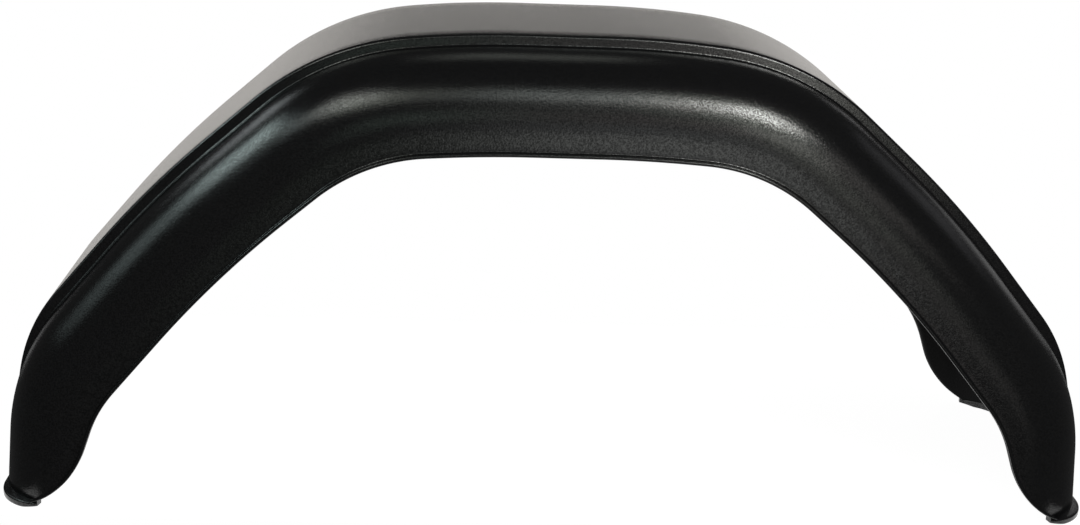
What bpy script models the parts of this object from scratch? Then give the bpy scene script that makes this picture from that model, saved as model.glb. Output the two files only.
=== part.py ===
# Trailer mudguard: one moulded shell that bridges a road wheel. A raised tread panel lies between
# two rounded shoulders, a flat skirt hangs from each shoulder, an outward rim stiffens each free
# edge, and a thick lip runs round the bottom of each foot.
# Metres, +Z up. X runs along the trailer, -Y is the outer side of the trailer and +Y its chassis
# side. The origin is on the ground under the middle of the moulding.

import math

import bmesh
import bpy
import numpy as np

OBJECT_NAME = "trailer_mudguard"

# Shoulder outline in side view, the line along which the shoulders meet the tread step
LENGTH = 0.761             # over the two end walls, at the ground
HEIGHT = 0.3193            # crest of the shoulders above the ground
CROWN_HALF = 0.0655        # from the middle to the point where the level top starts to fall
TOP_HALF = 0.1615          # from the middle to the upper corner
TOP_DROP = 0.0103          # fall of the top up to the upper corner
LOW_CORNER_HEIGHT = 0.0926 # lower corner above the ground
LOW_CORNER_LEAN = 0.007    # how far the end wall leans in up to the lower corner
SLOPE_BOW = 0.0114         # outward bow of the long slope between the corners
CROWN_RADIUS = 0.700
TOP_RADIUS = 0.179
SLOPE_RADIUS = 0.700
LOW_RADIUS = 0.150

# Free edge of the skirts in side view, measured in from the shoulder outline
SKIRT_DEPTH = 0.0632       # below the crest, at the middle
EDGE_CROWN_HALF = 0.052    # from the middle to where the level edge starts to fall
EDGE_TOP_IN = 0.0301       # upper corner of the free edge, inwards of the outline's corner
EDGE_TOP_DOWN = 0.0583     # and below it
EDGE_LOW_IN = 0.0662       # lower corner of the free edge, inwards of the outline's corner
EDGE_LOW_DOWN = 0.0187     # and below it
EDGE_BOW = 0.0107
FOOT_WIDTH = 0.0466        # from the end wall to the foot of the steep stretch
EDGE_CROWN_RADIUS = 0.900
EDGE_TOP_RADIUS = 0.1235
EDGE_SLOPE_RADIUS = 0.700
EDGE_LOW_RADIUS = 0.0946
LOBE_RADIUS = 0.0737       # round of the foot lobe, between the steep stretch and the bottom
LOBE_DEPTH = 0.0040        # the lobe would touch a line this far below the ground

# Cross-section
FRONT_SHOULDER = 0.050     # radius of the shoulder on the outer side
TREAD_WIDTH = 0.151        # raised panel between its two steps
BACK_SHOULDER = 0.036      # radius of the shoulder on the chassis side
TREAD_LIFT = 0.0077        # the panel stands this far out of the shoulders, top and slopes
TREAD_LOW_RADIUS = 0.116   # the panel turns the lower corner more tightly
TREAD_FOOT_INSET = 0.0027  # and lies this far inside them at the end walls
STEP_WIDTH = 0.0028        # width of the step with its rounded edge
WALL = 0.0025              # thickness of the moulding
RIM_PROUD = 0.0045         # rim beyond the skirt face

# Lip under each foot
LIP_PROUD = 0.0003         # beyond the end wall and the skirt
LIP_FRONT_CORNER = 0.036   # its outer corners in plan are tighter than the shoulders, so that it
LIP_BACK_CORNER = 0.026    # stands out most at the corners
LIP_HEIGHT = 0.0048
LIP_ROUND = 0.0014         # rounding of its upper and lower edge
LIP_REACH = 0.030          # from the end wall to the toe where the lip starts
LIP_TOE_LENGTH = 0.012     # stretch at a toe over which its underside rises
LIP_TOE_RISE = 0.0025
LIP_LEDGE = 0.0005         # step inside the foot, where the lip is thicker than the wall
LIP_BITE = 0.0008          # depth over which the wall sits down inside the lip

# Fineness of the facets
STATIONS = 30
ROUND_STEPS = 6
SKIRT_STEPS = 2
TREAD_STEPS = 4
LIP_ARC_STEPS = 8
OUTLINE_STEP = 0.0005      # spacing of the worked-out outlines
ARC_POINTS = 8             # fewest points on one rounded corner
MERGE_GAP = 0.0001
TURN_SHARE = math.radians(7)
LENGTH_SHARE = 0.045

# Rise of the step at shares of its width: a steep wall with a rounded edge
STEP_PROFILE = ((0.21, 0.70), (0.46, 0.92), (1.0, 1.0))

# Outside of the lip in section, as shares of its rounding inwards and of its height
LIP_PROFILE = ((0.8, 0.0), (0.0, 0.25), (0.0, 0.65), (1.0, 1.0))
LIP_ROUND_SHARE = 0.6      # most of the lip's proud width that a rounding may take

HALF_LENGTH = LENGTH / 2
WIDTH = FRONT_SHOULDER + TREAD_WIDTH + BACK_SHOULDER


def bowed_middle(start, end, bow):
    """Middle of a line, moved outwards and up by the bow."""
    side = end - start
    normal = np.array([-side[1], side[0]]) / np.linalg.norm(side)
    if normal[0] < 0:
        normal = -normal
    return (start + end) / 2 + normal * bow


def rounded_outline(corners, radii):
    """Polygon through the corners with its inner corners rounded by tangent arcs, as points at
    even spacing. Two arcs that share a side are reduced until they fit on it."""
    corners = [np.array(corner, dtype=float) for corner in corners]
    sides = [b - a for a, b in zip(corners, corners[1:])]
    lengths = [np.linalg.norm(side) for side in sides]
    ways = [side / length for side, length in zip(sides, lengths)]
    turns = [math.acos(np.clip(a @ b, -1, 1)) for a, b in zip(ways, ways[1:])]
    reaches = [0.0] + [r * math.tan(t / 2) for r, t in zip(radii, turns)] + [0.0]
    for i, length in enumerate(lengths):
        total = reaches[i] + reaches[i + 1]
        if total > length:
            reaches[i] *= length / total
            reaches[i + 1] *= length / total
    points = [corners[0]]
    for i, turn in enumerate(turns, start=1):
        radius = reaches[i] / math.tan(turn / 2)
        start = corners[i] - ways[i - 1] * reaches[i]
        inward = ways[i] - ways[i - 1]
        inward /= np.linalg.norm(inward)
        centre = corners[i] + inward * radius / math.cos(turn / 2)
        end = corners[i] + ways[i] * reaches[i]
        for share in np.linspace(0, 1, max(ARC_POINTS, math.ceil(radius * turn / OUTLINE_STEP))):
            arm = math.sin((1 - share) * turn) * (start - centre)
            arm = arm + math.sin(share * turn) * (end - centre)
            points.append(centre + arm / math.sin(turn))
    points.append(corners[-1])
    points = np.array(points)
    run = np.concatenate([[0.0], np.cumsum(np.linalg.norm(np.diff(points, axis=0), axis=1))])
    even = np.linspace(0, run[-1], math.ceil(run[-1] / OUTLINE_STEP) + 1)
    return np.stack([np.interp(even, run, points[:, 0]), np.interp(even, run, points[:, 1])], 1)


def outline_corners():
    """Corners of the shoulder outline, from the middle down to the ground."""
    top = np.array([TOP_HALF, HEIGHT - TOP_DROP])
    low = np.array([HALF_LENGTH - LOW_CORNER_LEAN, LOW_CORNER_HEIGHT])
    return [(0.0, HEIGHT), (CROWN_HALF, HEIGHT), top,
            bowed_middle(top, low, SLOPE_BOW), low, (HALF_LENGTH, 0.0)]


def shoulder_outline():
    return rounded_outline(outline_corners(), [CROWN_RADIUS, TOP_RADIUS, SLOPE_RADIUS, LOW_RADIUS])


def moved_corners(corners, offsets):
    """Corners of an outline whose sides are moved out, each by its own distance."""
    corners = np.array(corners)
    sides = np.diff(corners, axis=0)
    normals = np.stack([-sides[:, 1], sides[:, 0]], 1) / np.linalg.norm(sides, axis=1)[:, None]
    reaches = (normals * corners[:-1]).sum(1) + offsets
    inner = [np.linalg.solve(normals[i:i + 2], reaches[i:i + 2]) for i in range(len(sides) - 1)]
    return [corners[0] + normals[0] * offsets[0]] + inner + [corners[-1] + normals[-1] * offsets[-1]]


def tread_outline():
    """The shoulder outline moved out along the top and the slopes and in at the end wall, so that
    its step fades out at the lower corner."""
    corners = moved_corners(outline_corners(), np.array([TREAD_LIFT] * 4 + [-TREAD_FOOT_INSET]))
    return rounded_outline(corners, [CROWN_RADIUS, TOP_RADIUS + TREAD_LIFT, SLOPE_RADIUS,
                                     TREAD_LOW_RADIUS])


def free_edge_outline():
    """Free edge of a skirt: under the top, down the slope, round the foot lobe and out."""
    corners = outline_corners()
    top = np.array([corners[2][0] - EDGE_TOP_IN, corners[2][1] - EDGE_TOP_DOWN])
    low = np.array([corners[4][0] - EDGE_LOW_IN, corners[4][1] - EDGE_LOW_DOWN])
    crest = HEIGHT - SKIRT_DEPTH
    points = [(0.0, crest), (EDGE_CROWN_HALF, crest), top,
              bowed_middle(top, low, EDGE_BOW), low,
              (HALF_LENGTH - FOOT_WIDTH, -LOBE_DEPTH), (HALF_LENGTH + FRONT_SHOULDER, -LOBE_DEPTH)]
    return rounded_outline(points, [EDGE_CROWN_RADIUS, EDGE_TOP_RADIUS, EDGE_SLOPE_RADIUS,
                                    EDGE_LOW_RADIUS, LOBE_RADIUS])


def reach_to(outline, point, way):
    """Signed distance from a point along a direction to where an outline crosses that line. Of
    several crossings, the nearest one counts."""
    offset = outline - point
    across = offset[:, 0] * way[1] - offset[:, 1] * way[0]
    along = offset @ way
    hits = np.nonzero(across[:-1] * across[1:] <= 0)[0]
    share = across[hits] / (across[hits] - across[hits + 1])
    distances = along[hits] + share * (along[hits + 1] - along[hits])
    return distances[np.argmin(np.abs(distances))]


def both_halves(outline):
    """An outline that starts at the middle, with its mirror image in front of it."""
    return np.concatenate([outline[:0:-1] * (-1.0, 1.0), outline])


def moved_sideways(outline, distance):
    """An outline moved by a distance to the left of its run, square to itself."""
    tangent = np.gradient(outline, axis=0)
    tangent /= np.linalg.norm(tangent, axis=1)[:, None]
    return outline + np.stack([-tangent[:, 1], tangent[:, 0]], 1) * distance


def turning(points):
    """Change of direction at each point of a run of points."""
    steps = np.diff(points, axis=0)
    headings = np.unwrap(np.arctan2(steps[:, 1], steps[:, 0]))
    return np.concatenate([[0.0], np.abs(np.diff(headings)), [0.0]])


def stations():
    """Cross-section planes from the middle to the foot. Each plane stands square on the shoulder
    outline. They lie closer together where the outline or the free edge turns."""
    outline = shoulder_outline()
    outline = outline[outline[:, 1] >= LIP_HEIGHT - LIP_BITE]
    tread = both_halves(tread_outline())
    rim = both_halves(moved_sideways(free_edge_outline(), WALL))
    tangent = np.gradient(outline, axis=0)
    tangent[0] = (1.0, 0.0)
    tangent /= np.linalg.norm(tangent, axis=1)[:, None]
    inward = np.stack([tangent[:, 1], -tangent[:, 0]], 1)
    depth = np.array([reach_to(rim, p, n) for p, n in zip(outline, inward)])
    rise = np.array([-reach_to(tread, p, n) for p, n in zip(outline, inward)])
    free = outline + inward * depth[:, None]
    measure = np.zeros(len(outline))
    for line in (outline, free):
        steps = np.linalg.norm(np.diff(line, axis=0), axis=1)
        measure[1:] += np.cumsum(steps) / LENGTH_SHARE + np.cumsum(turning(line))[1:] / TURN_SHARE
    picks = np.interp(np.linspace(0, measure[-1], STATIONS + 1), measure, np.arange(len(outline)))
    picks = np.unique(np.round(picks).astype(int))
    return [(outline[i], inward[i], depth[i], rise[i]) for i in picks]


def side_section(shoulder, depth, rise):
    """One side of the cross-section, from the rim's tip to the top of the tread step, as pairs of
    distance in from the skirt face and distance in from the shoulder outline. The round and the
    skirt share their points by developed length, so a foot that ends on the round has them too."""
    quarter = shoulder * math.pi / 2
    if depth >= shoulder:
        total = quarter + depth - shoulder
    else:
        total = shoulder * math.acos(1 - depth / shoulder)
    split = min(quarter, total * ROUND_STEPS / (ROUND_STEPS + SKIRT_STEPS))
    runs = list(np.linspace(0, split, ROUND_STEPS + 1))
    runs += list(np.linspace(split, total, SKIRT_STEPS + 1)[1:])
    points = []
    for run in runs:
        angle = min(run, quarter) / shoulder
        drop = shoulder * (1 - math.cos(angle)) + max(0.0, run - quarter)
        points.append((shoulder * (1 - math.sin(angle)), drop))
    last_angle = min(total, quarter) / shoulder
    tip = (points[-1][0] - RIM_PROUD * math.sin(last_angle),
           points[-1][1] - RIM_PROUD * math.cos(last_angle))
    step = [(shoulder + STEP_WIDTH * share, -rise * height) for share, height in STEP_PROFILE]
    return [tip] + points[::-1] + step


def full_section(depth, rise):
    """Both sides of the cross-section with the tread between them, as world Y and the distance in
    from the shoulder outline."""
    front = [(y - WIDTH / 2, drop) for y, drop in side_section(FRONT_SHOULDER, depth, rise)]
    back = [(WIDTH / 2 - y, drop) for y, drop in side_section(BACK_SHOULDER, depth, rise)]
    start, end = front[-1][0], back[-1][0]
    tread = [(y, -rise) for y in np.linspace(start, end, TREAD_STEPS + 1)[1:-1]]
    return front + tread + back[::-1]


def plastic_material():
    """Black moulded plastic with a fine satin grain."""
    material = bpy.data.materials.new("black_moulded_plastic")
    material.use_nodes = True
    shader = material.node_tree.nodes["Principled BSDF"]
    shader.inputs["Base Color"].default_value = (0.012, 0.012, 0.013, 1.0)
    shader.inputs["Metallic"].default_value = 0.0
    shader.inputs["Roughness"].default_value = 0.45
    material.diffuse_color = (0.02, 0.02, 0.022, 1.0)
    return material


def shell_mesh():
    """Open outer surface of one half: the cross-section lofted from the middle to the foot."""
    rows = []
    for point, inward, depth, rise in stations():
        rows.append([(point[0] + inward[0] * drop, y, point[1] + inward[1] * drop)
                     for y, drop in full_section(depth, rise)])
    width = len(rows[0])
    faces = []
    for r in range(len(rows) - 1):
        for c in range(width - 1):
            here = r * width + c
            faces.append((here, here + width, here + width + 1, here + 1))
    mesh = bpy.data.meshes.new("mudguard")
    mesh.from_pydata([vertex for row in rows for vertex in row], [], faces)
    mesh.shade_smooth()
    return mesh


def corner_run(radius, proud, side):
    """A corner of one foot in plan, from the toe plane to the end wall, as points with their
    outward directions. It lies on an arc, and before the arc on the straight side."""
    centre = np.array([HALF_LENGTH + proud - radius, side * (WIDTH / 2 + proud - radius)])
    toe = HALF_LENGTH - LIP_REACH
    start = math.asin(min(max((toe - centre[0]) / radius, 0.0), 1.0))
    run = []
    for angle in np.linspace(start, math.pi / 2, LIP_ARC_STEPS + 1):
        way = np.array([math.sin(angle), side * math.cos(angle)])
        run.append((centre + way * radius, way))
    run[0][0][0] = min(run[0][0][0], toe)
    return run


def lip_path():
    """Plan of one foot's lip as a run of wall points, the wall's outward directions and the lip's
    outer points: from the toe round the front corner, along the end wall and round the back
    corner to the other toe."""
    path = []
    for shoulder, corner, side in ((FRONT_SHOULDER, LIP_FRONT_CORNER, -1),
                                   (BACK_SHOULDER, LIP_BACK_CORNER, 1)):
        wall = corner_run(shoulder, 0.0, side)
        outer = corner_run(corner, LIP_PROUD, side)
        run = [(point, way, edge) for (point, way), (edge, _) in zip(wall, outer)]
        path += run if side < 0 else run[::-1]
    return path


def lip_mesh():
    """One foot's lip: a bar with a rounded outside along the plan path. Its top is level, and
    rises at each toe to meet the underside of the rim. Its underside is level and rises a little
    at each toe."""
    edge = free_edge_outline()
    lobe = edge[edge[:, 1] < LOBE_RADIUS]
    toe = HALF_LENGTH - LIP_REACH
    rows = []
    for point, way, outer in lip_path():
        top = max(LIP_HEIGHT, np.interp(point[0], lobe[:, 0], lobe[:, 1]) + LIP_BITE)
        low = LIP_TOE_RISE * max(0.0, 1 - (point[0] - toe) / LIP_TOE_LENGTH)
        proud = np.linalg.norm(outer - point)
        inset = (outer - point) / proud * min(LIP_ROUND, LIP_ROUND_SHARE * proud)
        inner = point - way * (WALL + LIP_LEDGE)
        outside = [(*(outer - inset * share), low + (top - low) * height)
                   for share, height in LIP_PROFILE]
        rows.append(outside + [(*inner, top), (*inner, low)])
    around = len(rows[0])
    faces = []
    for r in range(len(rows) - 1):
        for c in range(around):
            here, beside = around * r + c, around * r + (c + 1) % around
            faces.append((here, beside, beside + around, here + around))
    last = around * (len(rows) - 1)
    faces += [tuple(range(around))[::-1], tuple(range(last, last + around))]
    mesh = bpy.data.meshes.new("foot_lips")
    mesh.from_pydata([vertex for row in rows for vertex in row], [], faces)
    shape = bmesh.new()
    shape.from_mesh(mesh)
    bmesh.ops.recalc_face_normals(shape, faces=shape.faces)
    shape.to_mesh(mesh)
    shape.free()
    return mesh


def foot_lips(collection):
    """The lips of both feet, as a shape that is joined to the shell."""
    lips = bpy.data.objects.new("foot_lips", lip_mesh())
    lips.hide_render = True
    lips.display_type = "WIRE"
    collection.objects.link(lips)
    mirror = lips.modifiers.new("other_foot", "MIRROR")
    mirror.use_axis = (True, False, False)
    mirror.merge_threshold = MERGE_GAP
    return lips


def build():
    for item in list(bpy.data.objects):
        bpy.data.objects.remove(item, do_unlink=True)
    part = bpy.data.collections.new(OBJECT_NAME)
    joined = bpy.data.collections.new("joined_shapes")
    bpy.context.scene.collection.children.link(part)
    bpy.context.scene.collection.children.link(joined)

    mudguard = bpy.data.objects.new("mudguard", shell_mesh())
    mudguard.data.materials.append(plastic_material())
    part.objects.link(mudguard)

    mirror = mudguard.modifiers.new("other_half", "MIRROR")
    mirror.use_axis = (True, False, False)
    mirror.use_clip = True
    mirror.merge_threshold = MERGE_GAP

    wall = mudguard.modifiers.new("wall", "SOLIDIFY")
    wall.thickness = WALL
    wall.offset = -1.0
    wall.use_even_offset = True
    wall.use_quality_normals = True

    union = mudguard.modifiers.new("foot_lips", "BOOLEAN")
    union.operation = "UNION"
    union.solver = "EXACT"
    union.object = foot_lips(joined)


build()
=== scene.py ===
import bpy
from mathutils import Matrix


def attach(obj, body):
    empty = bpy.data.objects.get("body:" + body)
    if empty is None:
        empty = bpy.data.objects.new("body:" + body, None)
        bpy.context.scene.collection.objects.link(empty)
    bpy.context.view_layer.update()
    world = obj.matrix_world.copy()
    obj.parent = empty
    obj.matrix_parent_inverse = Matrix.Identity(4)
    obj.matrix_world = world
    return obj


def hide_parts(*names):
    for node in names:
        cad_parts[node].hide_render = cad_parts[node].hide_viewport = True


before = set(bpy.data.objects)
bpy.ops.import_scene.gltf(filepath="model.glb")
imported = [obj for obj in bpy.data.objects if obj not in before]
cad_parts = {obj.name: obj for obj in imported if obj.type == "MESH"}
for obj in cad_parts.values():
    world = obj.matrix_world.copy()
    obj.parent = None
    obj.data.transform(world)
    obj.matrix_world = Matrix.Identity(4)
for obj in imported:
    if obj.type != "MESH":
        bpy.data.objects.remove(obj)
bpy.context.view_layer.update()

import math

import bpy
import numpy as np
from bpy.props import FloatProperty, FloatVectorProperty, PointerProperty, StringProperty
from bpy.types import Operator, Panel, PropertyGroup
from mathutils import Matrix, Vector

bl_info = {
    "name": "Trailer mudguard",
    "version": (1, 0, 0),
    "blender": (4, 5, 0),
    "location": "View3D > Sidebar > Mudguard",
    "description": "Builds a moulded trailer mudguard with its studio",
    "category": "Object",
}

# Soft boxes: name, azimuth to the right of the camera side, elevation, width, height, brightness
# beside a white of 1, and colour. They stand round the target and face it.
SOFT_BOXES = (
    ("left_back_side_middle", -125, 28, 0.46, 0.36, 1.60, "f4fdff"),
    ("left_side_middle", -90, 20, 0.57, 0.40, 0.93, "eafffe"),
    ("left_side_high", -90, 33, 0.57, 0.24, 6.00, "e9fffd"),
    ("left_front_side_high", -70, 37, 0.57, 0.24, 2.00, "ecfffd"),
    ("left_front_side_top", -50, 50, 0.57, 0.40, 3.99, "f9fff7"),
    ("left_front_top", -30, 50, 0.57, 0.40, 1.92, "f8fff1"),
    ("left_front_low", -10, -10, 0.57, 0.40, 0.09, "deffdf"),
    ("left_front_middle", -10, 20, 0.57, 0.40, 0.43, "e2ffed"),
    ("right_front_low", 10, -10, 0.57, 0.40, 1.55, "fcfffb"),
    ("right_front_level", 10, 5, 0.57, 0.40, 0.68, "fcffff"),
    ("right_front_middle", 10, 20, 0.57, 0.40, 0.51, "fff4f1"),
    ("right_front_high", 10, 35, 0.57, 0.40, 0.37, "f8fff7"),
    ("right_front_top", 10, 50, 0.57, 0.40, 2.33, "f5fff9"),
    ("spot_right_crown", 20, 44, 0.30, 0.25, 3.01, "fff4ee"),
    ("right_foot_low", 30, -10, 0.57, 0.40, 0.35, "fffaf5"),
    ("right_back_low", 140, -8, 0.57, 0.40, 0.30, "ffffff"),
    ("left_back_low", -140, -8, 0.57, 0.40, 0.30, "ffffff"),
    ("right_front_side_level", 30, 5, 0.57, 0.40, 0.84, "fcfff4"),
    ("right_front_side_lifted", 30, 20, 0.57, 0.40, 2.37, "fffff7"),
    ("right_front_side_raised", 30, 35, 0.57, 0.40, 2.47, "fcfff3"),
    ("spot_right_corner", 30, 44, 0.30, 0.25, 17.00, "fffffd"),
    ("spot_right_corner_top", 30, 51, 0.30, 0.25, 2.82, "f7ffee"),
    ("spot_right_slope", 40, 37, 0.30, 0.25, 20.00, "fffffb"),
    ("spot_right_slope_top", 40, 44, 0.30, 0.25, 8.00, "fafff8"),
    ("right_front_side_middle", 50, 20, 0.57, 0.40, 0.69, "fffaf4"),
    ("right_side_middle", 110, 20, 0.57, 0.40, 0.22, "fafaff"),
    ("right_back_side_low", 129, 3, 0.56, 0.34, 0.32, "ffffff"),
    ("right_back_middle", 146, 14, 0.46, 0.34, 0.60, "ffffff"),
    ("back_top", 180, 58, 0.46, 0.36, 0.58, "f8fff4"),
)
SOFT_BOX_TARGET = (0.0, 0.0, 0.2)
SOFT_BOX_DISTANCE = 1.7

# Shoulder outline in side view, from the level middle to the ground. The other half mirrors it.
# Its radii are those at the crown, the top corner, the slope's bow and the low corner.
CROWN_HALF = 0.0655
TOP_HALF = 0.1615
TOP_DROP = 0.0103
LOW_CORNER_HEIGHT = 0.0926
LOW_CORNER_LEAN = 0.007
SLOPE_BOW = 0.0114
OUTLINE_RADII = (0.700, 0.179, 0.700, 0.150)
TREAD_LOW_RADIUS = 0.116
TREAD_FOOT_INSET = 0.0027

# Free edge of the skirts in side view
SKIRT_DEPTH = 0.0632
EDGE_CROWN_HALF = 0.052
EDGE_TOP_IN = 0.0301
EDGE_TOP_DOWN = 0.0583
EDGE_LOW_IN = 0.0662
EDGE_LOW_DOWN = 0.0187
EDGE_BOW = 0.0107
FOOT_WIDTH = 0.0466
LOBE_DEPTH = 0.0040
EDGE_RADII = (0.900, 0.1235, 0.700, 0.0946, 0.0737)

# Small roundings of the moulding
STEP_FOOT_RADIUS = 0.0020
STEP_EDGE_RADIUS = 0.0030
STEP_DRAFT = math.radians(12)
RIM_INNER_RADIUS = 0.0022
RIM_INNER_FLAT = 0.001     # length of the flat inside next to the rim's inner rounding
RIM_ROOT_RADIUS = 0.0012

# Lip under each foot. Its corners in plan are tighter than the shoulders, so that it stands out
# most there.
LIP_FRONT_CORNER = 0.036
LIP_BACK_CORNER = 0.026
LIP_ROUND = 0.0014
LIP_ROUND_SHARE = 0.6      # most of the lip's proud width that a rounding may take
LIP_ROUND_HEIGHT = 0.28    # share of the lip's height that each of its two roundings takes
LIP_REACH = 0.030
LIP_TOE_LENGTH = 0.012
LIP_TOE_RISE = 0.0025
LIP_LEDGE = 0.0005
LIP_BITE = 0.0008

# Plastic
PLASTIC_IOR = 1.49
GRAIN_SPREAD = 0.12        # half the range of the noise between a pit and a crown of the grain
INNER_GRAIN_COARSENESS = 2

# Studio
SENSOR_WIDTH = 36.0
PRINCIPAL_SHIFT = -0.00046
ROOM_RADIUS = 3.5
ROOM_STEP = 5              # degrees between its points
PAPER_HALF = 23            # degrees to each side of straight behind
PAPER_TOP = 15             # degrees above the horizon
FLOOR_LEFT, FLOOR_RIGHT, FLOOR_FRONT, FLOOR_BACK = -0.385, 0.385, -0.126, 0.30
WHITE = (1.0, 1.0, 1.0, 1.0)
FLOOR_WHITE = 1.18         # glow and lamplight together, over 1 so that the floor stays white
FLOOR_COLOUR = "e6e6e6"    # the floor as it lights the object
BACKDROP_LIGHT = 0.3       # strength of the white backdrop as light, beside 1 as it is seen

# Fineness of the mesh
OUTLINE_STEP = 0.0005
ROWS_PER_HALF = 160
FACE_POINTS = 28
TREAD_POINTS = 8
LIP_ARC_POINTS = 24
LIP_ROUND_POINTS = 6
RIM_INNER_POINTS = 6
RIM_NOSE_POINTS = 8
RIM_ROOT_POINTS = 5
STEP_ROUND_POINTS = 7
OUTLINE_ARC_POINTS = 8     # the fewest on an arc of an outline
TURN_SHARE = math.radians(4)
LENGTH_SHARE = 0.020
SHARP_ANGLE = math.radians(40)


def linear(code):
    """An sRGB hex colour as linear red, green, blue and full alpha."""
    parts = [int(code[i:i + 2], 16) / 255 for i in (0, 2, 4)]
    return tuple(c / 12.92 if c <= 0.04045 else ((c + 0.055) / 1.055) ** 2.4
                 for c in parts) + (1.0,)


class MouldingSizes(PropertyGroup):
    """Main sizes of the mudguard."""
    length: FloatProperty(name="Length", description="Over the two end walls, at the ground",
                          default=0.761, min=0.5, max=1.2, unit="LENGTH")
    height: FloatProperty(name="Height", description="Crest of the shoulders above the ground",
                          default=0.3193, min=0.28, max=0.5, unit="LENGTH")
    front_shoulder: FloatProperty(name="Outer shoulder", description="Radius of the outer shoulder",
                                  default=0.050, min=0.01, max=0.06, unit="LENGTH")
    back_shoulder: FloatProperty(name="Inner shoulder",
                                 description="Radius of the chassis-side shoulder",
                                 default=0.036, min=0.01, max=0.06, unit="LENGTH")
    tread_width: FloatProperty(name="Tread width", description="Raised panel between its two steps",
                               default=0.151, min=0.05, max=0.3, unit="LENGTH")
    tread_lift: FloatProperty(name="Tread lift",
                              description="The panel stands this far out of the shoulders",
                              default=0.0077, min=0.0, max=0.02, unit="LENGTH")
    wall: FloatProperty(name="Wall", description="Thickness of the moulding",
                        default=0.0025, min=0.001, max=0.006, unit="LENGTH")
    rim_proud: FloatProperty(name="Rim", description="How far the rim stands out of the skirt",
                             default=0.0045, min=0.001, max=0.02, unit="LENGTH")
    lip_proud: FloatProperty(name="Lip", description="How far the lip stands out of the end wall",
                             default=0.0003, min=0.0, max=0.01, unit="LENGTH")
    lip_height: FloatProperty(name="Lip height", description="Height of the foot's lip",
                              default=0.0048, min=0.001, max=0.02, unit="LENGTH")


class PlasticFinish(PropertyGroup):
    """Look of the moulded plastic."""
    colour: StringProperty(name="Colour", description="Colour of the plastic as an sRGB hex value",
                           default="0b0b0c")
    # The inside and the rims' undersides: a darker colour, more roughness and a weak reflection, as
    # painted shade
    inner_shade_colour: StringProperty(name="Inner colour", description="Colour of the inside, sRGB hex",
                                 default="080808")
    roughness: FloatProperty(name="Roughness", description="Roughness of the satin surface",
                             default=0.17, min=0.0, max=1.0, subtype="FACTOR")
    grain_size: FloatProperty(name="Grain size", description="Spacing of the moulded grain",
                              default=0.0010, min=0.0001, max=0.01, unit="LENGTH")
    grain_depth: FloatProperty(name="Grain depth", description="Depth of the moulded grain",
                               default=0.00011, min=0.0, max=0.001, unit="LENGTH")
    pit_shine: FloatProperty(name="Pit shine",
                             description="Specular level in the pits of the grain",
                             default=0.27, min=0.0, max=1.0, subtype="FACTOR")
    crown_shine: FloatProperty(name="Crown shine",
                               description="Specular level on the grain's crowns",
                               default=0.73, min=0.0, max=1.0, subtype="FACTOR")
    inner_roughness: FloatProperty(name="Inner roughness",
                                   description="Roughness of the dull inside",
                                   default=0.6, min=0.0, max=1.0, subtype="FACTOR")
    inner_shade_shine: FloatProperty(name="Inner shine", description="Specular level of the dull inside",
                               default=0.15, min=0.0, max=1.0, subtype="FACTOR")


class StudioSettings(PropertyGroup):
    """Camera, floor and lamps."""
    lens: FloatProperty(name="Lens", description="Focal length on a 36 mm wide frame",
                        default=58.52, min=10, max=300)
    camera_place: FloatVectorProperty(name="Camera", description="Place of the camera",
                                      default=(-0.07632, -1.22727, 0.51754), subtype="TRANSLATION")
    camera_turn: FloatVectorProperty(name="Camera turn", description="Yaw, downward pitch and roll",
                                     default=(math.radians(3.18), math.radians(16.69),
                                              math.radians(2.31)), subtype="EULER")
    paper_colour: StringProperty(name="Paper colour",
                                 description="Colour of the backdrop paper, sRGB hex",
                                 default="fffbf6")
    paper_level: FloatProperty(name="Paper level",
                               description="Glow of the backdrop paper in reflections",
                               default=0.78, min=0.0, max=1.0)
    room_front: FloatProperty(name="Room front",
                              description="Brightness of the dark studio in front",
                              default=0.11, min=0.0, max=1.0)
    room_back: FloatProperty(name="Room back", description="Brightness of the dark studio behind",
                             default=0.03, min=0.0, max=1.0)
    floor_shade: FloatProperty(name="Floor shade",
                               description="Share of the floor's white that lamps give",
                               default=0.2, min=0.0, max=1.0, subtype="FACTOR")


def bowed_middle(start, end, bow):
    """Middle of a line, moved outwards and up by the bow."""
    side = end - start
    normal = np.array([-side[1], side[0]]) / np.linalg.norm(side)
    if normal[0] < 0:
        normal = -normal
    return (start + end) / 2 + normal * bow


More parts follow.
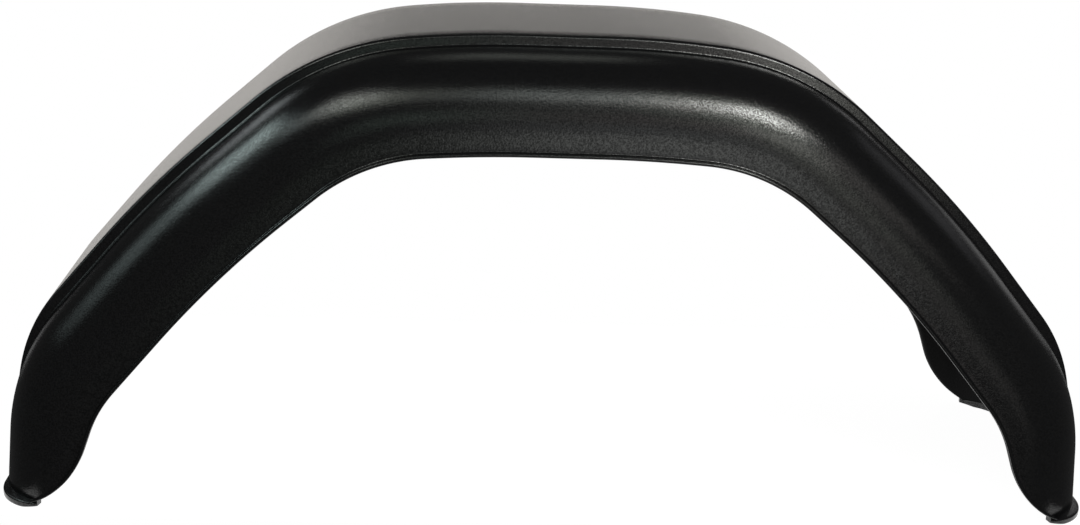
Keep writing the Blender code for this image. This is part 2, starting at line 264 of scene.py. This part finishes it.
def rounded_outline(corners, radii):
    """Polygon through the corners with tangent arcs in its inner corners, at even spacing. On an
    arc a point is the centre plus the two end arms weighted by sines, sin((1-s)t) and sin(st)."""
    corners = np.array(corners, dtype=float)
    sides = np.diff(corners, axis=0)
    lengths = np.linalg.norm(sides, axis=1)
    ways = sides / lengths[:, None]
    turns = np.arccos(np.clip((ways[:-1] * ways[1:]).sum(1), -1, 1))
    reaches = np.concatenate([[0.0], np.array(radii) * np.tan(turns / 2), [0.0]])
    for i, length in enumerate(lengths):
        total = reaches[i] + reaches[i + 1]
        if total > length:
            reaches[i:i + 2] *= length / total
    runs = [corners[:1]]
    for i, turn in enumerate(turns, start=1):
        radius = reaches[i] / math.tan(turn / 2)
        inward = ways[i] - ways[i - 1]
        inward /= np.linalg.norm(inward)
        centre = corners[i] + inward * radius / math.cos(turn / 2)
        start = corners[i] - ways[i - 1] * reaches[i] - centre
        end = corners[i] + ways[i] * reaches[i] - centre
        count = max(OUTLINE_ARC_POINTS, math.ceil(radius * turn / OUTLINE_STEP))
        share = np.linspace(0, 1, count)[:, None]
        runs.append(centre + (np.sin((1 - share) * turn) * start + np.sin(share * turn) * end)
                    / math.sin(turn))
    points = np.concatenate(runs + [corners[-1:]])
    run = np.concatenate([[0.0], np.cumsum(np.linalg.norm(np.diff(points, axis=0), axis=1))])
    even = np.linspace(0, run[-1], math.ceil(run[-1] / OUTLINE_STEP) + 1)
    return np.stack([np.interp(even, run, points[:, 0]), np.interp(even, run, points[:, 1])], 1)


def outline_corners(sizes):
    """Corners of the shoulder outline in side view, from the middle down to the ground."""
    half = sizes.length / 2
    top = np.array([TOP_HALF, sizes.height - TOP_DROP])
    low = np.array([half - LOW_CORNER_LEAN, LOW_CORNER_HEIGHT])
    return [(0.0, sizes.height), (CROWN_HALF, sizes.height), top,
            bowed_middle(top, low, SLOPE_BOW), low, (half, 0.0)]


def moved_corners(corners, offsets):
    """Corners of an outline whose sides are moved out, each by its own distance: a new corner is
    where the two moved lines, given by normal times point = reach, cross."""
    corners = np.array(corners)
    sides = np.diff(corners, axis=0)
    normals = np.stack([-sides[:, 1], sides[:, 0]], 1) / np.linalg.norm(sides, axis=1)[:, None]
    reaches = (normals * corners[:-1]).sum(1) + offsets
    inner = [np.linalg.solve(normals[i:i + 2], reaches[i:i + 2]) for i in range(len(sides) - 1)]
    ends = corners[[0, -1]] + normals[[0, -1]] * np.array(offsets)[[0, -1], None]
    return [ends[0]] + inner + [ends[1]]


def tread_outline(sizes):
    """The shoulder outline moved out along the top and the slopes and in at the end wall, so that
    its step fades out at the lower corner."""
    offsets = np.array([sizes.tread_lift] * 4 + [-TREAD_FOOT_INSET])
    crown, top, slope, _ = OUTLINE_RADII
    radii = (crown, top + sizes.tread_lift, slope, TREAD_LOW_RADIUS)
    return rounded_outline(moved_corners(outline_corners(sizes), offsets), radii)


def free_edge_outline(sizes):
    """Free edge of a skirt: under the top, down the slope, round the foot lobe and out."""
    corners = outline_corners(sizes)
    top = np.array([corners[2][0] - EDGE_TOP_IN, corners[2][1] - EDGE_TOP_DOWN])
    low = np.array([corners[4][0] - EDGE_LOW_IN, corners[4][1] - EDGE_LOW_DOWN])
    crest = sizes.height - SKIRT_DEPTH
    half = sizes.length / 2
    points = [(0.0, crest), (EDGE_CROWN_HALF, crest), top, bowed_middle(top, low, EDGE_BOW), low,
              (half - FOOT_WIDTH, -LOBE_DEPTH), (half + sizes.front_shoulder, -LOBE_DEPTH)]
    return rounded_outline(points, EDGE_RADII)


def both_halves(outline):
    """An outline that starts at the middle, with its mirror image in front of it."""
    return np.concatenate([outline[:0:-1] * (-1.0, 1.0), outline])


def reach_to(outline, points, ways):
    """Signed distance from each point along its direction to the nearest crossing of an outline."""
    offset = outline[None] - points[:, None]
    across = offset[..., 0] * ways[:, None, 1] - offset[..., 1] * ways[:, None, 0]
    along = (offset * ways[:, None]).sum(2)
    crossed = across[:, :-1] * across[:, 1:] <= 0
    change = across[:, :-1] - across[:, 1:]
    share = across[:, :-1] / np.where(crossed & (change != 0), change, 1.0)
    distance = along[:, :-1] + share * (along[:, 1:] - along[:, :-1])
    distance = np.where(crossed, distance, np.inf)
    return distance[np.arange(len(points)), np.argmin(np.abs(distance), axis=1)]


def turning(points):
    """Change of direction at each point of a run of points."""
    steps = np.diff(points, axis=0)
    headings = np.unwrap(np.arctan2(steps[:, 1], steps[:, 0]))
    return np.concatenate([[0.0], np.abs(np.diff(headings)), [0.0]])


def stations(sizes):
    """Cross-section planes from the middle to the foot, square on the shoulder outline: their
    points, inward directions, distance to the free edge and rise of the tread. They are spaced
    by length plus turning of the outline and of the free edge."""
    outline = rounded_outline(outline_corners(sizes), OUTLINE_RADII)
    outline = outline[outline[:, 1] >= sizes.lip_height - LIP_BITE]
    edge = both_halves(free_edge_outline(sizes))
    tread = both_halves(tread_outline(sizes))
    tangent = np.gradient(outline, axis=0)
    tangent[0] = (1.0, 0.0)
    tangent /= np.linalg.norm(tangent, axis=1)[:, None]
    inward = np.stack([tangent[:, 1], -tangent[:, 0]], 1)
    depth = reach_to(edge, outline, inward)
    rise = -reach_to(tread, outline, inward)
    measure = np.zeros(len(outline))
    for line in (outline, outline + inward * depth[:, None]):
        steps = np.linalg.norm(np.diff(line, axis=0), axis=1)
        measure[1:] += np.cumsum(steps) / LENGTH_SHARE + np.cumsum(turning(line))[1:] / TURN_SHARE
    picks = np.interp(np.linspace(0, measure[-1], ROWS_PER_HALF), measure, np.arange(len(outline)))
    picks = np.unique(np.round(picks).astype(int))
    return outline[picks], inward[picks], depth[picks], rise[picks]


def arc(centre, radius, start, end, count):
    """Points on a circle between two angles in degrees, as pairs."""
    angle = np.radians(np.linspace(start, end, count))
    return np.stack([centre[0] + radius * np.cos(angle), centre[1] + radius * np.sin(angle)], 1)


def rim_profile(sizes):
    """The rim in section, as pairs of distance up from the free edge and distance out of the
    skirt face: inner corner, underside, round nose, upper face and root fillet."""
    nose = sizes.wall / 2
    proud = sizes.rim_proud
    inner = arc((RIM_INNER_RADIUS, RIM_INNER_RADIUS - sizes.wall), RIM_INNER_RADIUS, 270, 180,
                RIM_INNER_POINTS)
    tip = arc((nose, proud - nose), nose, 180, 0, RIM_NOSE_POINTS)
    root = arc((sizes.wall + RIM_ROOT_RADIUS, RIM_ROOT_RADIUS), RIM_ROOT_RADIUS, 180, 270,
               RIM_ROOT_POINTS)
    return np.concatenate([inner, tip, root])


def step_profile(lift):
    """The tread step in section at its full height: a foot fillet, a drafted wall and a rounded
    edge, as pairs of distance in and share of the height."""
    turn = math.pi / 2 - STEP_DRAFT
    angle = np.linspace(0, turn, STEP_ROUND_POINTS)
    foot = np.stack([np.sin(angle), 1 - np.cos(angle)], 1) * STEP_FOOT_RADIUS
    crown = np.stack([-np.sin(angle[::-1]), np.cos(angle[::-1]) - 1], 1) * STEP_EDGE_RADIUS
    wall_height = lift + crown[0, 1] - foot[-1, 1]
    reach = foot[-1, 0] + wall_height * math.tan(STEP_DRAFT) - crown[0, 0]
    profile = np.concatenate([foot, crown + (reach, lift)])
    return profile / (1.0, lift)


def wall_point(shoulder, run, out):
    """A point of the wall in section, as distance in from the skirt face and distance in from the
    shoulder outline. Up to a quarter turn the run lies on the shoulder circle, and past it on the
    straight skirt. The point is moved out along the normal."""
    quarter = shoulder * math.pi / 2
    angle = np.minimum(run, quarter) / shoulder
    along = shoulder * (1 - np.sin(angle)) - out * np.sin(angle)
    drop = shoulder * (1 - np.cos(angle)) + np.maximum(0.0, run - quarter) - out * np.cos(angle)
    return along, drop


def side_sections(sizes, shoulder, depth, rise):
    """Outer and inner path of one side in all planes at once, from the free edge to the top of
    the step, as arrays of (plane, point, 2)."""
    quarter = shoulder * math.pi / 2
    on_round = shoulder * np.arccos(np.clip(1 - depth / shoulder, -1, 1))
    total = np.where(depth >= shoulder, quarter + depth - shoulder, on_round)[:, None]
    rim = rim_profile(sizes)
    step = step_profile(sizes.tread_lift)

    face = total - rim[-1, 0]
    share = np.linspace(0, 1, FACE_POINTS + 1)[None, 1:]
    run = np.concatenate([total - rim[None, :, 0], face * (1 - share)], 1)
    out = np.concatenate([rim[:, 1], np.zeros(FACE_POINTS)])[None]
    along, drop = wall_point(shoulder, run, out)
    climb = np.broadcast_to(shoulder + step[None, 1:, 0], (len(depth), len(step) - 1))
    outer = np.stack([np.concatenate([along, climb], 1),
                      np.concatenate([drop, -rise[:, None] * step[None, 1:, 1]], 1)], 2)

    start = total - RIM_INNER_RADIUS - RIM_INNER_FLAT
    run = start * (1 - np.linspace(0, 1, run.shape[1]))[None]
    along, drop = wall_point(shoulder, run, np.array([[-sizes.wall]]))
    inner = np.stack([np.concatenate([along, climb + sizes.wall], 1),
                      np.concatenate([drop, sizes.wall - rise[:, None] * step[None, 1:, 1]], 1)], 2)
    return outer, inner


def closed_rings(sizes, depth, rise):
    """The closed cross-section ring in all planes: both outer sides with the tread between them,
    then the inner side back, as world Y and distance in from the shoulder outline."""
    half = (sizes.front_shoulder + sizes.tread_width + sizes.back_shoulder) / 2
    fronts = side_sections(sizes, sizes.front_shoulder, depth, rise)
    backs = side_sections(sizes, sizes.back_shoulder, depth, rise)
    paths = []
    for front, back in zip(fronts, backs):
        front = front - (half, 0.0)
        back = back[:, ::-1] * (-1.0, 1.0) + (half, 0.0)
        share = np.linspace(0, 1, TREAD_POINTS + 2)[None, 1:-1, None]
        tread = front[:, -1:] * (1 - share) + back[:, :1] * share
        paths.append(np.concatenate([front, tread, back], 1))
    return np.concatenate([paths[0], paths[1][:, ::-1]], 1)


def ring_quads(rows, around):
    """Quads between neighbouring closed rings, each of the same number of points."""
    row = np.arange(rows - 1)[:, None] * around
    here = np.arange(around)[None]
    beside = (here + 1) % around
    quads = np.stack([row + here, row + here + around, row + beside + around, row + beside], 2)
    return quads.reshape(-1, 4)


def loft_faces(rows, around):
    """Quads between closed rings, and the strip that closes each end, where the first half of a
    ring faces its second half."""
    i = np.arange(around // 2 - 1)
    strip = np.stack([i, i + 1, around - 2 - i, around - 1 - i], 1)
    last = (rows - 1) * around
    return np.concatenate([ring_quads(rows, around), strip, strip[:, ::-1] + last])


def outward(points, faces):
    """The faces, turned over if the closed surface they make would have a negative volume."""
    a, b, c, d = (points[faces[:, i]] for i in range(4))
    volume = (np.cross(b - a, c - a) * a).sum() + (np.cross(c - a, d - a) * a).sum()
    return faces if volume > 0 else faces[:, ::-1]


def shell_surface(sizes):
    """The wall with its rims: closed cross-section rings carried along the shoulder outline from
    one foot over the top to the other. It also gives which faces get painted shade, a darker and
    duller finish: those on the inside and on the underside of the rims."""
    point, inward, depth, rise = stations(sizes)
    ring = closed_rings(sizes, depth, rise)
    x = point[:, None, 0] + inward[:, None, 0] * ring[..., 1]
    z = point[:, None, 1] + inward[:, None, 1] * ring[..., 1]
    right = np.stack([x, ring[..., 0], z], 2)
    left = right[:0:-1] * (-1.0, 1.0, 1.0)
    grid = np.concatenate([left, right])
    points = grid.reshape(-1, 3)
    faces = outward(points, loft_faces(len(grid), grid.shape[1]))
    column = faces % grid.shape[1]
    far_rim = grid.shape[1] // 2 - 1 - RIM_INNER_POINTS
    # Faces on the inside and under the rims, which get the painted shade of the darker, duller
    # finish
    shaded_faces = ((column <= RIM_INNER_POINTS) | (column >= far_rim)).all(1)
    return points, faces, shaded_faces


def corner_run(sizes, radius, proud, hand):
    """A corner of one foot in plan, from the toe plane to the end wall, as points and outward
    directions: the centre plus the radius times the sine and cosine of an angle that grows
    evenly. Where the toe plane lies before the arc, the first point is on the straight side."""
    width = sizes.front_shoulder + sizes.tread_width + sizes.back_shoulder
    centre = np.array([sizes.length / 2 + proud - radius, hand * (width / 2 + proud - radius)])
    toe = sizes.length / 2 - LIP_REACH
    start = math.asin(min(max((toe - centre[0]) / radius, 0.0), 1.0))
    angle = np.linspace(start, math.pi / 2, LIP_ARC_POINTS)
    way = np.stack([np.sin(angle), hand * np.cos(angle)], 1)
    point = centre + way * radius
    point[0, 0] = min(point[0, 0], toe)
    return point, way


def lip_section():
    """Outside of the lip in section, from its underside to its top, as shares of the rounding
    inwards and of the height: a quarter round, a straight side and a quarter round."""
    turn = np.linspace(0, math.pi / 2, LIP_ROUND_POINTS)
    low = np.stack([1 - np.sin(turn), LIP_ROUND_HEIGHT * (1 - np.cos(turn))], 1)
    high = np.stack([1 - np.cos(turn), 1 - LIP_ROUND_HEIGHT * (1 - np.sin(turn))], 1)
    return np.concatenate([low, high])


def lip_surface(sizes, side):
    """A foot's lip: a bar with a rounded outside, carried from one toe round the end wall to the
    other between the wall's plan and its own. Its top is level, and rises at a toe to meet the
    rim. Its underside rises a little at a toe."""
    runs = []
    for shoulder, corner, hand in ((sizes.front_shoulder, LIP_FRONT_CORNER, -1),
                                   (sizes.back_shoulder, LIP_BACK_CORNER, 1)):
        wall, way = corner_run(sizes, shoulder, 0.0, hand)
        outer = corner_run(sizes, corner, sizes.lip_proud, hand)[0]
        run = np.concatenate([wall, way, outer], 1)
        runs.append(run if hand < 0 else run[::-1])
    wall, way, outer = np.split(np.concatenate(runs), 3, axis=1)
    edge = free_edge_outline(sizes)
    lobe = edge[edge[:, 1] < EDGE_RADII[-1]]
    top = np.maximum(sizes.lip_height, np.interp(wall[:, 0], lobe[:, 0], lobe[:, 1]) + LIP_BITE)
    toe = sizes.length / 2 - LIP_REACH
    low = LIP_TOE_RISE * np.maximum(0.0, 1 - (wall[:, 0] - toe) / LIP_TOE_LENGTH)
    proud = np.linalg.norm(outer - wall, axis=1)[:, None]
    inset = (outer - wall) / proud * np.minimum(LIP_ROUND, LIP_ROUND_SHARE * proud)
    inner = wall - way * (sizes.wall + LIP_LEDGE)
    section = lip_section()
    plan = outer[:, None] - inset[:, None] * section[None, :, :1]
    plan = np.concatenate([plan, np.repeat(inner[:, None], 2, axis=1)], 1)
    share = np.concatenate([section[:, 1], [1.0, 0.0]])
    height = low[:, None] + (top - low)[:, None] * share
    grid = np.concatenate([plan, height[..., None]], 2) * (side, 1.0, 1.0)
    rows, around = grid.shape[:2]
    points = grid.reshape(-1, 3)
    quads = outward(points, ring_quads(rows, around))
    caps = np.array([np.arange(around), np.arange(around)[::-1] + (rows - 1) * around])
    if quads[0, 0] != 0:
        caps = caps[:, ::-1]
    return points, quads, caps


def mesh_of(name, points, faces):
    """A mesh from an array of points and a list of faces."""
    mesh = bpy.data.meshes.new(name)
    mesh.from_pydata(points.tolist(), [], faces)
    mesh.update()
    return mesh


def add_object(scene, name, data):
    """A new object of the scene, at the origin."""
    item = bpy.data.objects.new(name, data)
    scene.collection.objects.link(item)
    return item


def add_node(tree, kind, settings=None, **links):
    """A shader node with its settings. An input is given by its name, with _ for a space, or by its
    number, as _0. A socket is linked to it, and any other value is set directly."""
    node = tree.nodes.new(kind)
    for key, value in (settings or {}).items():
        setattr(node, key, value)
    for key, value in links.items():
        label = key.replace("_", " ")
        socket = node.inputs[label if label in node.inputs else int(key[1:])]
        if isinstance(value, bpy.types.NodeSocket):
            tree.links.new(value, socket)
        else:
            socket.default_value = value
    return node


def black_plastic(name, colour, roughness):
    """A material of plain black plastic, with its tree and shader."""
    material = bpy.data.materials.new(name)
    material.use_nodes = True
    shader = material.node_tree.nodes["Principled BSDF"]
    shader.inputs["Base Color"].default_value = linear(colour)
    shader.inputs["IOR"].default_value = PLASTIC_IOR
    shader.inputs["Roughness"].default_value = roughness
    return material, material.node_tree, shader


def add_grain(tree, shader, spacing, depth, detail, roughness):
    """Grain of a plastic as noise on the piece's own coordinates, which the shader takes as a
    bump. Gives the height of the grain."""
    place = add_node(tree, "ShaderNodeTexCoord").outputs["Object"]
    grain = add_node(tree, "ShaderNodeTexNoise", Vector=place, Scale=1 / spacing, Detail=detail,
                     Roughness=roughness).outputs["Fac"]
    bump = add_node(tree, "ShaderNodeBump", Height=grain, Strength=1.0, Distance=depth)
    tree.links.new(bump.outputs["Normal"], shader.inputs["Normal"])
    return grain


def moulded_grained_polypropylene(finish):
    """Black polypropylene, moulded against a fine sparked grain: deep black with a satin gloss. The
    grain's crowns reflect more than the pits between them, which breaks a reflected lamp into
    small sparks. The real grain is too fine for the picture, so it is drawn coarser."""
    material, tree, shader = black_plastic("moulded_grained_polypropylene", finish.colour,
                                           finish.roughness)
    grain = add_grain(tree, shader, finish.grain_size, finish.grain_depth, 2.0, 0.6)
    shine = add_node(tree, "ShaderNodeMapRange", Value=grain, From_Min=0.5 - GRAIN_SPREAD,
                     From_Max=0.5 + GRAIN_SPREAD, To_Min=finish.pit_shine,
                     To_Max=finish.crown_shine)
    tree.links.new(shine.outputs[0], shader.inputs["Specular IOR Level"])
    return material


def shaded_inner_polypropylene(finish):
    """The inside of the same moulding and the undersides of the rims, with painted shade: a darker
    colour and a dull, weak reflection keep them deep black. It has a coarser grain."""
    material, tree, shader = black_plastic("shaded_inner_polypropylene", finish.inner_shade_colour,
                                           finish.inner_roughness)
    shader.inputs["Specular IOR Level"].default_value = finish.inner_shade_shine
    add_grain(tree, shader, INNER_GRAIN_COARSENESS * finish.grain_size, finish.grain_depth, 1.0,
              0.5)
    return material


class MUDGUARD_OT_moulding(Operator):
    """Build the moulded mudguard"""
    bl_idname = "mudguard.moulding"
    bl_label = "Build moulding"

    def execute(self, context):
        scene = context.scene
        sizes = scene.mudguard_sizes
        points, faces, shaded_faces = shell_surface(sizes)
        faces = faces.tolist()
        for side in (1.0, -1.0):
            lip_points, quads, caps = lip_surface(sizes, side)
            start = len(points)
            points = np.concatenate([points, lip_points])
            faces += (quads + start).tolist() + (caps + start).tolist()
        # Faces of slot 1 get painted shade: the darker, duller plastic on the inside and under the
        # rims
        slots = np.zeros(len(faces), dtype=np.int32)
        slots[:len(shaded_faces)] = shaded_faces
        piece = add_object(scene, "grained_moulding", mesh_of("grained_moulding", points, faces))
        piece.data.shade_smooth()
        piece.data.set_sharp_from_angle(angle=SHARP_ANGLE)
        piece.data.materials.append(moulded_grained_polypropylene(scene.mudguard_finish))
        piece.data.materials.append(shaded_inner_polypropylene(scene.mudguard_finish))
        piece.data.polygons.foreach_set("material_index", slots)
        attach(piece, "root")
        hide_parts("mudguard")
        return {"FINISHED"}


def seen_rays(tree):
    """1 for camera, glossy and transmission rays, and 0 for the others."""
    path = add_node(tree, "ShaderNodeLightPath").outputs
    some = add_node(tree, "ShaderNodeMath", {"operation": "MAXIMUM"}, _0=path["Is Camera Ray"],
                    _1=path["Is Glossy Ray"])
    return add_node(tree, "ShaderNodeMath", {"operation": "MAXIMUM"}, _0=some.outputs[0],
                    _1=path["Is Transmission Ray"]).outputs[0]


def empty_material(name):
    """A material without nodes, and its tree."""
    material = bpy.data.materials.new(name)
    material.use_nodes = True
    material.node_tree.nodes.clear()
    return material, material.node_tree


def white_floor(shade):
    """Matt white studio floor. It glows white to the eye, and lamps give only a share of it, so
    that the shadow of the object stays faint."""
    material, tree = empty_material("matt_white_studio_floor")
    glow = add_node(tree, "ShaderNodeEmission", Color=WHITE, Strength=FLOOR_WHITE - shade)
    part = add_node(tree, "ShaderNodeBsdfDiffuse", Color=(shade, shade, shade, 1.0))
    seen = add_node(tree, "ShaderNodeAddShader", _0=glow.outputs[0], _1=part.outputs[0])
    plain = add_node(tree, "ShaderNodeBsdfDiffuse", Color=linear(FLOOR_COLOUR))
    mix = add_node(tree, "ShaderNodeMixShader", _0=seen_rays(tree), _1=plain.outputs[0],
                   _2=seen.outputs[0])
    add_node(tree, "ShaderNodeOutputMaterial", Surface=mix.outputs[0])
    return material


def dim_walls(front, back):
    """Walls of a dim studio, brighter in front of the object than behind it."""
    material, tree = empty_material("dim_studio_walls")
    place = add_node(tree, "ShaderNodeTexCoord").outputs["Object"]
    split = add_node(tree, "ShaderNodeSeparateXYZ", Vector=place)
    level = add_node(tree, "ShaderNodeMapRange", Value=split.outputs["Y"], From_Min=-ROOM_RADIUS,
                     From_Max=ROOM_RADIUS, To_Min=front, To_Max=back)
    glow = add_node(tree, "ShaderNodeEmission", Strength=level.outputs[0])
    add_node(tree, "ShaderNodeOutputMaterial", Surface=glow.outputs[0])
    return material


def backdrop_paper(colour, level):
    """Pale, slightly warm paper behind the object, as the tread panel mirrors it."""
    material, tree = empty_material("pale_backdrop_paper")
    glow = add_node(tree, "ShaderNodeEmission", Color=linear(colour), Strength=level)
    add_node(tree, "ShaderNodeOutputMaterial", Surface=glow.outputs[0])
    return material


def on_sphere(azimuth, elevation):
    """Direction from the middle, in radians: x is sin(azimuth) cos(elevation), y is
    -cos(azimuth) cos(elevation), z is sin(elevation)."""
    return np.stack([np.sin(azimuth) * np.cos(elevation), -np.cos(azimuth) * np.cos(elevation),
                     np.sin(elevation)], -1)


def room_surface():
    """A sphere round the studio, given by azimuth and elevation. Also marks the faces low behind
    the object, where the pale backdrop paper hangs."""
    azimuth = np.arange(0, 361, ROOM_STEP)
    elevation = np.arange(-90, 91, ROOM_STEP)
    points = on_sphere(*np.radians(np.meshgrid(azimuth, elevation))) * ROOM_RADIUS
    around = len(azimuth)
    here = np.arange(len(elevation) - 1)[:, None] * around + np.arange(around - 1)[None]
    faces = np.stack([here, here + around, here + around + 1, here + 1], 2)
    half_step = ROOM_STEP / 2
    paper = ((np.abs(azimuth[None, :-1] + half_step - 180) < PAPER_HALF)
             & (elevation[:-1, None] + half_step < PAPER_TOP))
    return points.reshape(-1, 3), faces.reshape(-1, 4), paper.ravel()


def add_camera(scene, studio):
    """The camera, turned by its yaw from straight ahead, its downward pitch and its roll."""
    yaw, pitch, roll = studio.camera_turn
    ahead = Vector((math.sin(yaw) * math.cos(pitch), math.cos(yaw) * math.cos(pitch),
                    -math.sin(pitch)))
    right = Vector((math.cos(yaw), -math.sin(yaw), 0.0))
    up = right.cross(ahead)
    turned_right = right * math.cos(roll) + up * math.sin(roll)
    turned_up = up * math.cos(roll) - right * math.sin(roll)
    lens = bpy.data.cameras.new("camera")
    lens.lens = studio.lens
    lens.sensor_width = SENSOR_WIDTH
    lens.shift_x = PRINCIPAL_SHIFT
    camera = add_object(scene, "camera", lens)
    camera.matrix_world = Matrix.Translation(studio.camera_place) @ Matrix(
        (turned_right, turned_up, -ahead)).transposed().to_4x4()
    scene.camera = camera


def add_soft_boxes(scene):
    """The lamps: rectangles that glow evenly and that the camera doesn't see."""
    for name, azimuth, elevation, width, height, level, colour in SOFT_BOXES:
        way = Vector(on_sphere(math.radians(azimuth), math.radians(elevation)))
        light = bpy.data.lights.new(name, "AREA")
        light.shape = "RECTANGLE"
        light.size = width
        light.size_y = height
        light.energy = level * math.pi * width * height
        light.color = linear(colour)[:3]
        box = add_object(scene, name, light)
        box.location = Vector(SOFT_BOX_TARGET) + way * SOFT_BOX_DISTANCE
        box.rotation_euler = (-way).to_track_quat("-Z", "Y").to_euler()
        box.visible_camera = False


def add_floor_and_room(scene, studio):
    """The floor under the object and the dim studio round it, which the camera doesn't see."""
    corners = np.array([(FLOOR_LEFT, FLOOR_FRONT, 0.0), (FLOOR_RIGHT, FLOOR_FRONT, 0.0),
                        (FLOOR_RIGHT, FLOOR_BACK, 0.0), (FLOOR_LEFT, FLOOR_BACK, 0.0)])
    floor = add_object(scene, "floor", mesh_of("floor", corners, [(0, 1, 2, 3)]))
    floor.data.materials.append(white_floor(studio.floor_shade))

    points, faces, paper = room_surface()
    room = add_object(scene, "dim_room", mesh_of("dim_room", points, faces.tolist()))
    room.data.materials.append(dim_walls(studio.room_front, studio.room_back))
    room.data.materials.append(backdrop_paper(studio.paper_colour, studio.paper_level))
    room.data.polygons.foreach_set("material_index", paper.astype(np.int32))
    room.visible_camera = False


def add_backdrop(scene):
    """The white backdrop: white where it is seen, and dimmer as a light."""
    world = bpy.data.worlds.new("white_backdrop")
    scene.world = world
    world.use_nodes = True
    tree = world.node_tree
    tree.nodes.clear()
    level = add_node(tree, "ShaderNodeMix", {"data_type": "FLOAT"}, _0=seen_rays(tree),
                     _2=BACKDROP_LIGHT, _3=1.0)
    white = add_node(tree, "ShaderNodeBackground", Color=WHITE, Strength=level.outputs[0])
    add_node(tree, "ShaderNodeOutputWorld", Surface=white.outputs[0])


class MUDGUARD_OT_studio(Operator):
    """Set up the floor, the lamps and the camera"""
    bl_idname = "mudguard.studio"
    bl_label = "Set up studio"

    def execute(self, context):
        scene = context.scene
        scene.view_settings.view_transform = "Standard"
        add_camera(scene, scene.mudguard_studio)
        add_soft_boxes(scene)
        add_floor_and_room(scene, scene.mudguard_studio)
        add_backdrop(scene)
        return {"FINISHED"}


class MUDGUARD_PT_panel(Panel):
    """Mudguard tools in the sidebar"""
    bl_label = "Trailer mudguard"
    bl_idname = "MUDGUARD_PT_panel"
    bl_space_type = "VIEW_3D"
    bl_region_type = "UI"
    bl_category = "Mudguard"

    def draw(self, context):
        for group in (context.scene.mudguard_sizes, context.scene.mudguard_finish,
                      context.scene.mudguard_studio):
            column = self.layout.column()
            for key in group.__annotations__:
                column.prop(group, key)
        for operator in (MUDGUARD_OT_moulding, MUDGUARD_OT_studio):
            self.layout.operator(operator.bl_idname)


CLASSES = (MouldingSizes, PlasticFinish, StudioSettings, MUDGUARD_OT_moulding, MUDGUARD_OT_studio,
           MUDGUARD_PT_panel)


def register():
    """Add the classes to Blender, and the settings to its scenes."""
    for item in CLASSES:
        bpy.utils.register_class(item)
    bpy.types.Scene.mudguard_sizes = PointerProperty(type=MouldingSizes)
    bpy.types.Scene.mudguard_finish = PointerProperty(type=PlasticFinish)
    bpy.types.Scene.mudguard_studio = PointerProperty(type=StudioSettings)


def unregister():
    """Take the settings and the classes out again."""
    del bpy.types.Scene.mudguard_studio
    del bpy.types.Scene.mudguard_finish
    del bpy.types.Scene.mudguard_sizes
    for item in reversed(CLASSES):
        bpy.utils.unregister_class(item)


def main():
    """Build the mudguard and its studio."""
    register()
    bpy.ops.mudguard.moulding()
    bpy.ops.mudguard.studio()


if __name__ == "__main__":
    main()
